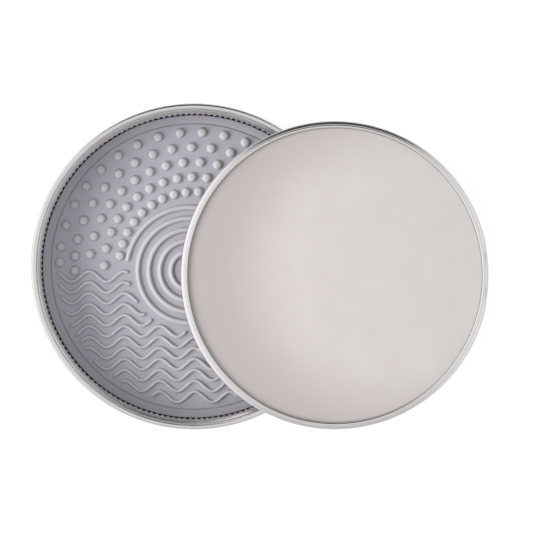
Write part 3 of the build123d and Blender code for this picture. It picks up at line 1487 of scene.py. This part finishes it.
    def make(self, effects: Effects) -> bpy.types.Object:
        """Builds and dresses the mat.

        Args:
            effects: The shared effects.

        Returns:
            The mat's object.
        """
        material = MouldedSilicone(self.top()).material(effects)
        rib = moulded_rib_group()
        empty = bpy.data.meshes.new("empty")
        centre = (*self.ring_centre, self.top())
        waves = modified_mesh("waves", empty, wave_field_group(rib), {
            "Line Count": self.wave_count,
            "Line Pitch": self.wave_pitch,
            "First Line": self.wave_first,
            "Wavelength": self.wavelength,
            "Amplitude": self.wave_swing,
            "Crest": self.wave_crest,
            "Limit": self.wave_limit,
            "Ring Centre": centre,
            "Ring Clearance": self.ring_clearance,
            "Point Spacing": self.wave_spacing,
            "Level": self.top(),
            "Half Width": self.wave_half,
            "Height": self.rib_height,
            "Material": material,
        })
        rings = modified_mesh("rings", empty.copy(), ring_field_group(rib), {
            "Centre": centre,
            "Ring Count": self.ring_count,
            "First Radius": self.ring_first,
            "Ring Pitch": self.ring_pitch,
            "Arc End": math.radians(self.arc_end),
            "Half Width": self.ring_half,
            "Height": self.rib_height,
            "Material": material,
        })
        stud = self.stud()
        values = {"Stud": stud, "Material": material}
        studs = modified_mesh("studs", self.stud_places(), stud_field_group(), values)
        bpy.data.objects.remove(stud)
        return self.place(joined(self.name, [self.disc(), waves, rings, studs]), material)


# ------------------------------------------------------------------------------
# Sponge and paper
# ------------------------------------------------------------------------------


@dataclass
class Sponge(Piece):
    """The sponge that holds the water, with open pores.

    Attributes:
        edge: Radius of its lower edge.
        top_edge: Radius of its upper edge.
        pores: How many large pores it has.
        rim_share: The share of them that is on the rim.
        pore_sizes: Radius of the smallest and of the largest of them.
        pore_depth: Depth of a large pore, as a share of its radius.
        unevenness: How far the rest of the surface is off its plain form.
        lumps: How close together its lumps are.
        seed: Seed of the pores' places.
    """

    edge: float = 2.2 * MM
    top_edge: float = 0.7 * MM
    pores: int = 1500
    rim_share: float = 0.2
    pore_sizes: tuple[float, float] = (0.7 * MM, 1.6 * MM)
    pore_depth: float = 0.5
    unevenness: float = 0.12 * MM
    lumps: float = 220.0
    seed: int = 7

    def mesh(self) -> bpy.types.Mesh:
        """Draws the sponge and presses its pores in.

        Returns:
            Its closed mesh.
        """
        low, high = self.box()
        radius, top = self.radius(), high.z
        across = np.linspace(0.0, radius - self.edge, 84)
        up = np.linspace(low.z + self.edge, top - self.top_edge, 24)
        edge_low = arc((radius - self.edge, low.z + self.edge), self.edge, -90, 90, 5)
        edge_top = arc((radius - self.top_edge, top - self.top_edge), self.top_edge, 0, 90, 3)
        shape = [(r, low.z) for r in across] + edge_low + [(radius, z) for z in up[1:]] + edge_top
        shape += [(r, top) for r in across[::-1]]
        mesh = turned_outline(self.name, shape, 300, self.centre())
        self.press_pores(mesh)
        return mesh

    def pore_places(self, rng: np.random.Generator) -> list[Vector]:
        """Chooses the places of the large pores, evenly over the top, the underside and the rim.

        Args:
            rng: The source of the chance numbers.

        Returns:
            The places.
        """
        low, high = self.box()
        centre, radius = self.centre(), self.radius()
        places = []
        for turn, reach, side in rng.random((self.pores, 3)):
            angle = 2 * math.pi * turn
            arm = radius * min(1.0, math.sqrt(reach / (1.0 - self.rim_share)))
            level = low.z + (high.z - low.z) * (side if arm == radius else round(side))
            places.append(Vector((centre.x + arm * math.cos(angle), centre.y + arm * math.sin(angle), level)))
        return places

    def press_pores(self, mesh: bpy.types.Mesh) -> None:
        """Moves the surface inwards at the pores and makes it a little uneven.

        Args:
            mesh: The sponge's mesh.
        """
        rng = np.random.default_rng(self.seed)
        places = np.zeros(len(mesh.vertices) * 3)
        normals = np.zeros(len(mesh.vertices) * 3)
        mesh.vertices.foreach_get("co", places)
        mesh.vertices.foreach_get("normal", normals)
        places, normals = places.reshape(-1, 3), normals.reshape(-1, 3)
        sizes = rng.uniform(*self.pore_sizes, self.pores)
        tree = kdtree.KDTree(self.pores)
        for number, pore in enumerate(self.pore_places(rng)):
            tree.insert(pore, number)
        tree.balance()
        inwards = np.zeros(len(places))
        for number, place in enumerate(places):
            _, nearest, distance = tree.find(Vector(place))
            pit = max(0.0, 1.0 - (distance / sizes[nearest]) ** 2)
            uneven = 0.5 + 0.5 * noise.noise(Vector(place) * self.lumps)
            inwards[number] = pit * sizes[nearest] * self.pore_depth + self.unevenness * uneven
        places -= normals * inwards[:, None]
        mesh.vertices.foreach_set("co", places.ravel())
        mesh.update()

    def make(self, effects: Effects) -> bpy.types.Object:
        """Builds and dresses the sponge.

        Args:
            effects: The shared effects.

        Returns:
            The sponge's object.
        """
        piece = self.place(self.mesh(), CellSponge().material(effects), 80.0)
        return piece


@dataclass
class MixingPaper(Piece):
    """The round sheet that the paint is mixed on, laid on the sponge.

    Attributes:
        cockle: How far the wet sheet rises and falls.
        ripples: How close together its larger and smaller ripples are, and the share of each.
        swell: How far it has grown towards the base's lip.
        unshaded_offset: From its middle to the middle of the part without painted shade.
    """

    cockle: float = 0.06 * MM
    ripples: tuple[tuple[float, float], ...] = ((45.0, 0.7), (130.0, 0.3))
    swell: float = 0.16 * MM
    unshaded_offset: tuple[float, float, float] = (20 * MM, 3 * MM, 0.0)

    def mesh(self) -> bpy.types.Mesh:
        """Draws the sheet, a little uneven where it lies on the sponge.

        Returns:
            Its closed mesh.
        """
        low, high = self.box()
        across = np.linspace(0.0, self.radius() + self.swell, 50)
        top = high.z - 2 * self.cockle
        shape = [(r, low.z) for r in across] + [(r, top) for r in across[::-1]]
        mesh = turned_outline(self.name, shape, 300, self.centre())
        for vertex in mesh.vertices:
            flat = Vector((vertex.co.x, vertex.co.y, 0.0))
            lift = 1.0 + sum(share * noise.noise(flat * scale) for scale, share in self.ripples)
            vertex.co.z += self.cockle * max(0.0, min(2.0, lift))
        return mesh

    def make(self, effects: Effects) -> bpy.types.Object:
        """Builds and dresses the paper.

        Args:
            effects: The shared effects.

        Returns:
            The paper's object.
        """
        unshaded_centre = self.centre() + Vector(self.unshaded_offset)
        piece = self.place(self.mesh(), DampPaper(unshaded_centre).material(effects))
        width = 2 * (self.radius() + self.swell)
        return piece


# ------------------------------------------------------------------------------
# Studio
# ------------------------------------------------------------------------------


@dataclass
class SoftBox:
    """A rectangular soft light.

    Attributes:
        name: Its name.
        bearing: Where it stands round the object, in degrees from +X.
        elevation: How high it stands, in degrees.
        distance: How far from the object it is.
        size: Its width and height.
        power: Its power in watts.
        colour: Its colour.
    """

    name: str
    bearing: float
    elevation: float
    distance: float
    size: tuple[float, float]
    power: float
    colour: Colour = (1.0, 0.985, 0.96)

    def make(self, target: Vector) -> None:
        """Places the light, pointing at the target.

        Args:
            target: The point that it lights.
        """
        data = bpy.data.lights.new(self.name, "AREA")
        data.shape = "RECTANGLE"
        data.size, data.size_y = self.size
        data.energy = self.power
        data.color = self.colour
        light = bpy.data.objects.new(self.name, data)
        bearing, elevation = math.radians(self.bearing), math.radians(self.elevation)
        flat = math.cos(elevation)
        away = Vector((math.cos(bearing) * flat, math.sin(bearing) * flat, math.sin(elevation)))
        light.location = target + away * self.distance
        light.rotation_euler = away.to_track_quat("Z", "Y").to_euler()
        light.visible_camera = False
        light.visible_glossy = False
        bpy.context.scene.collection.objects.link(light)


@dataclass
class Studio:
    """Pale floor, soft lights and a camera that looks straight down through a long lens.

    Attributes:
        lights: The soft lights.
        view_width: Width of the view at the lid's rim.
        camera_height: Camera's height above the lid's rim.
        aim_x: How far right of the lid's axis the camera looks.
        aim_y: How far behind it.
        sensor: Width of the camera's sensor, in millimetres.
        horizon: How bright metal mirrors the room low down.
        left_glow: How much brighter it mirrors the room's left side.
        right_glow: How much brighter it mirrors the room's right side.
        high_glow: How much brighter it mirrors the room overhead.
        back_level: How much of all this is left behind the palette.
        floor_glow: How bright the floor is for the camera, above its own colour.
        mirrored_glow: How bright it is in the metal, above its own colour.
        floor_colour: The floor's own colour.
        ambient: How bright the room lights the palette.
        room_colour: The room's colour.
    """

    lights: tuple[SoftBox, ...] = (SoftBox("key", 188, 23, 0.9, (1.0, 0.36), 11.3),)
    view_width: float = 195.83 * MM
    camera_height: float = 3.0
    aim_x: float = 26.71 * MM
    aim_y: float = 0.0
    sensor: float = 36.0
    horizon: float = 0.58
    left_glow: float = 0.56
    right_glow: float = 0.3
    high_glow: float = 0.2
    back_level: float = 0.1
    floor_glow: float = 0.77
    mirrored_glow: float = 0.3
    floor_colour: Colour = (0.45, 0.45, 0.45)
    ambient: float = 0.6
    room_colour: Colour = (0.955, 0.965, 1.0)

    def camera(self, rim: float) -> None:
        """Places the camera.

        Args:
            rim: Level of the lid's rim.
        """
        data = bpy.data.cameras.new("camera")
        data.sensor_width = self.sensor
        data.lens = self.sensor * self.camera_height / self.view_width
        data.clip_start, data.clip_end = 0.1, 20.0
        camera = bpy.data.objects.new("camera", data)
        camera.location = (self.aim_x, self.aim_y, rim + self.camera_height)
        bpy.context.scene.collection.objects.link(camera)
        bpy.context.scene.camera = camera

    def floor(self) -> None:
        """A wide pale floor, white to the camera."""
        mesh = bpy.data.meshes.new("floor")
        half = 4.0
        corners = [(-half, -half, 0), (half, -half, 0), (half, half, 0), (-half, half, 0)]
        mesh.from_pydata(corners, [], [(0, 1, 2, 3)])
        tree = MaterialTree("floor")
        path = tree.add("ShaderNodeLightPath").outputs
        glow = tree.math("MULTIPLY", path["Is Camera Ray"], self.floor_glow)
        glow = tree.math("MULTIPLY_ADD", path["Is Glossy Ray"], self.mirrored_glow, glow)
        colour = (*self.floor_colour, 1.0)
        mesh.materials.append(tree.finish(Base_Color=colour, Roughness=0.9, Emission_Strength=glow))
        floor = bpy.data.objects.new("floor", mesh)
        bpy.context.scene.collection.objects.link(floor)

    def world(self) -> None:
        """A bright room that is dark behind the palette, and white to the camera."""
        world = bpy.data.worlds.new("room")
        bpy.context.scene.world = world
        world.use_nodes = True
        tree = NodeTree(world.node_tree)
        background = world.node_tree.nodes["Background"]
        x, y, z = tree.apart(tree.add("ShaderNodeTexCoord").outputs["Generated"])
        across = tree.math("ABSOLUTE", x)
        left = tree.steps(x, -0.9, -0.35, self.left_glow, 0.0)
        aside = tree.math("ADD", left, tree.steps(x, 0.35, 0.9, 0.0, self.right_glow))
        up = tree.steps(z, 0.6, 0.95, 0.0, self.high_glow)
        behind = tree.steps(tree.math("MULTIPLY_ADD", across, -0.8, y), 0.2, 0.55, 1.0, self.back_level)
        level = tree.math("ADD", self.horizon, tree.math("ADD", aside, up))
        mirrored = tree.math("MULTIPLY", level, behind)
        path = tree.add("ShaderNodeLightPath").outputs
        soft = tree.math("MULTIPLY", path["Is Diffuse Ray"], self.ambient)
        hard = tree.math("MULTIPLY", tree.math("SUBTRACT", 1.0, path["Is Diffuse Ray"]), mirrored)
        strength = tree.math("MAXIMUM", tree.math("ADD", soft, hard), path["Is Camera Ray"])
        tree.feed(background, Color=(*self.room_colour, 1.0), Strength=strength)

    def make(self, rim: float, target: Vector) -> None:
        """Sets up the studio.

        Args:
            rim: Level of the lid's rim.
            target: The point that the lights look at.
        """
        bpy.context.scene.view_settings.view_transform = "Standard"
        self.floor()
        self.world()
        for light in self.lights:
            light.make(target)
        self.camera(rim)
        log.info("studio: %d lights", len(self.lights))


def main() -> None:
    """Builds the palette piece by piece, then the studio."""
    effects = Effects()
    lid = Lid("lid_shell_metal", "lid_shell", Body.LID, Slot.TIN, segments=680)
    base = Base("base_pan_metal", "base_pan", Body.BASE, Slot.TIN)
    mat = TextureMat("texture_mat_silicone", "texture_mat", Body.MAT, Slot.SILICONE)
    sponge = Sponge("sponge_cells", "sponge", Body.SPONGE, Slot.SPONGE)
    paper = MixingPaper("hydration_paper_sheet", "hydration_paper", Body.PAPER, Slot.PAPER)
    for piece in (lid, base, mat, sponge, paper):
        made = piece.make(effects)
        log.info("%s: %d faces", made.name, len(made.data.polygons))
    low, high = (Vector(corner) for corner in cad_bounds)
    Studio().make(lid.box()[1].z, (low + high) / 2)


if __name__ == "__main__":
    main()
